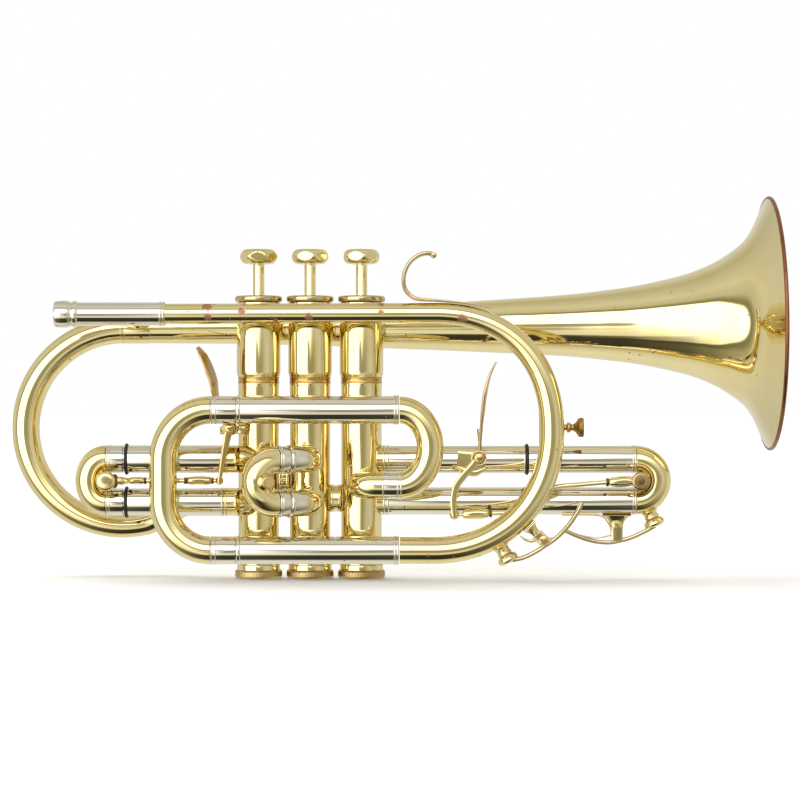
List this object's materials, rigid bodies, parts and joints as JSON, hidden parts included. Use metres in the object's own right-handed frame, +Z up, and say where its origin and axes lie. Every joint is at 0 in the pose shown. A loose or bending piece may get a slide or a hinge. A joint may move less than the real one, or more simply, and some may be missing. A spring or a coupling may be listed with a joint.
{
  "type": "cornet",
  "caption": "Short brass cornet with piston valves, sliding tubing, slide triggers, water keys and a flared bell, played by buzzing into a mouthpiece socket.",
  "frame": {"origin": "on the second valve's axis, in the plane that the bottom caps stand on", "axes": "+X towards the bell, +Z up to the finger buttons, +Y to the player's left"},
  "size_m": [0.3604, 0.1206, 0.1795],
  "materials": {
    "lacquered_brass": "polished, clear lacquer",
    "nickel_silver": "polished nickel silver",
    "worn_brass": "worn and darkened",
    "spring_steel": "drawn wire"
  },
  "bodies": {
    "body": {"bell": "lacquered_brass", "bell_bow": "lacquered_brass", "leadpipe": "lacquered_brass", "mouthpiece_receiver": "nickel_silver", "receiver_brace": "lacquered_brass", "return_bow": "lacquered_brass", "crossover_1_2": "lacquered_brass", "crossover_2_3": "lacquered_brass", "finger_hook": "lacquered_brass", "lyre_socket": "lacquered_brass", "valve_1_casing": "lacquered_brass", "valve_2_casing": "lacquered_brass", "valve_3_casing": "lacquered_brass", "valve_1_bottom_cap": "worn_brass", "valve_2_bottom_cap": "worn_brass", "valve_3_bottom_cap": "worn_brass", "valve_1_top_cap": "worn_brass", "valve_2_top_cap": "worn_brass", "valve_3_top_cap": "worn_brass", "valve_spring_1": "spring_steel", "valve_spring_2": "spring_steel", "valve_spring_3": "spring_steel", "tuning_sleeve_upper": "nickel_silver", "tuning_sleeve_lower": "nickel_silver", "first_sleeve_upper": "nickel_silver", "first_sleeve_lower": "nickel_silver", "second_sleeve_upper": "nickel_silver", "second_sleeve_lower": "nickel_silver", "third_sleeve_upper": "nickel_silver", "third_sleeve_lower": "nickel_silver", "first_trigger_bracket": "worn_brass", "third_trigger_bracket": "worn_brass", "water_key_1_saddle": "lacquered_brass", "water_key_1_nipple": "lacquered_brass"},
    "valve_1": {"piston_1": "nickel_silver", "finger_button_1": "lacquered_brass"},
    "valve_2": {"piston_2": "nickel_silver", "finger_button_2": "lacquered_brass"},
    "valve_3": {"piston_3": "nickel_silver", "finger_button_3": "lacquered_brass"},
    "tuning_slide": {"tuning_bow": "lacquered_brass", "tuning_leg_upper": "nickel_silver", "tuning_leg_lower": "nickel_silver"},
    "first_slide": {"first_bow": "lacquered_brass", "first_leg_upper": "nickel_silver", "first_leg_lower": "nickel_silver"},
    "first_link": {"first_link": "lacquered_brass"},
    "first_trigger": {"first_trigger": "worn_brass"},
    "second_slide": {"second_bow": "lacquered_brass", "second_leg_upper": "nickel_silver", "second_leg_lower": "nickel_silver"},
    "third_slide": {"third_bow": "lacquered_brass", "third_leg_upper": "nickel_silver", "third_leg_lower": "nickel_silver", "water_key_2_saddle": "lacquered_brass"},
    "third_link": {"third_link": "lacquered_brass"},
    "third_trigger": {"third_trigger": "worn_brass"},
    "water_key_1": {"water_key_1": "lacquered_brass"},
    "water_key_2": {"water_key_2": "lacquered_brass"},
    "lyre_screw": {"lyre_screw": "worn_brass"}
  },
  "joints": [
    {"name": "valve_1_press", "type": "slide", "parent": "body", "child": "valve_1", "axis": [0, 0, -1], "range_m": [0, 0.0143], "stiffness_N_per_m": 150, "springref_m": -0.015, "deforming": ["valve_spring_1"]},
    {"name": "valve_2_press", "type": "slide", "parent": "body", "child": "valve_2", "axis": [0, 0, -1], "range_m": [0, 0.0143], "stiffness_N_per_m": 150, "springref_m": -0.015, "deforming": ["valve_spring_2"]},
    {"name": "valve_3_press", "type": "slide", "parent": "body", "child": "valve_3", "axis": [0, 0, -1], "range_m": [0, 0.0143], "stiffness_N_per_m": 150, "springref_m": -0.015, "deforming": ["valve_spring_3"]},
    {"name": "tuning_slide_pull", "type": "slide", "parent": "body", "child": "tuning_slide", "axis": [-1, 0, 0], "range_m": [0, 0.014]},
    {"name": "first_slide_throw", "type": "slide", "parent": "body", "child": "first_slide", "axis": [-1, 0, 0], "range_m": [0, 0.009], "stiffness_N_per_m": 60, "springref_m": -0.02},
    {"name": "first_trigger_turn", "type": "hinge", "parent": "body", "child": "first_trigger", "pos_m": [-0.0368, 0, 0.0699], "axis": [0, 1, 0], "range_deg": [0, 22.8]},
    {"name": "first_link_turn", "type": "hinge", "parent": "first_slide", "child": "first_link", "pos_m": [-0.0934, -0.0154, 0.0456], "axis": [0, -1, 0], "range_deg": [0, 4.1]},
    {"name": "second_slide_pull", "type": "slide", "parent": "body", "child": "second_slide", "axis": [-0.9063, -0.4226, 0], "range_m": [0, 0.003]},
    {"name": "third_slide_throw", "type": "slide", "parent": "body", "child": "third_slide", "axis": [1, 0, 0], "range_m": [0, 0.015], "stiffness_N_per_m": 60, "springref_m": -0.02},
    {"name": "third_trigger_turn", "type": "hinge", "parent": "body", "child": "third_trigger", "pos_m": [0.0785, 0, 0.056], "axis": [0, -1, 0], "range_deg": [0, 30.9]},
    {"name": "third_link_turn", "type": "hinge", "parent": "third_slide", "child": "third_link", "pos_m": [0.1533, -0.0093, 0.0454], "axis": [0, -1, 0], "range_deg": [0, 1.5]},
    {"name": "water_key_1_lift", "type": "hinge", "parent": "body", "child": "water_key_1", "pos_m": [0.1077, -0.0205, 0.0185], "axis": [0, -1, 0], "range_deg": [0, 16], "stiffness_Nm_per_rad": 0.02, "springref_deg": -28.65},
    {"name": "water_key_2_lift", "type": "hinge", "parent": "third_slide", "child": "water_key_2", "pos_m": [0.143, 0, 0.0196], "axis": [0, 1, 0], "range_deg": [0, 14], "stiffness_Nm_per_rad": 0.02, "springref_deg": -28.65},
    {"name": "lyre_screw_turn", "type": "hinge", "parent": "body", "child": "lyre_screw", "pos_m": [0.1105, -0.0098, 0.0702], "axis": [1, 0, 0], "range_deg": [0, 180]}
  ],
  "couplings": [
    {"joint": "first_trigger_turn", "follows": "first_slide_throw", "rad_per_m": 44.02},
    {"joint": "first_link_turn", "follows": "first_slide_throw", "rad_per_m": 7.902},
    {"joint": "third_trigger_turn", "follows": "third_slide_throw", "rad_per_m": 35.7},
    {"joint": "third_link_turn", "follows": "third_slide_throw", "rad_per_m": 1.618}
  ]
}
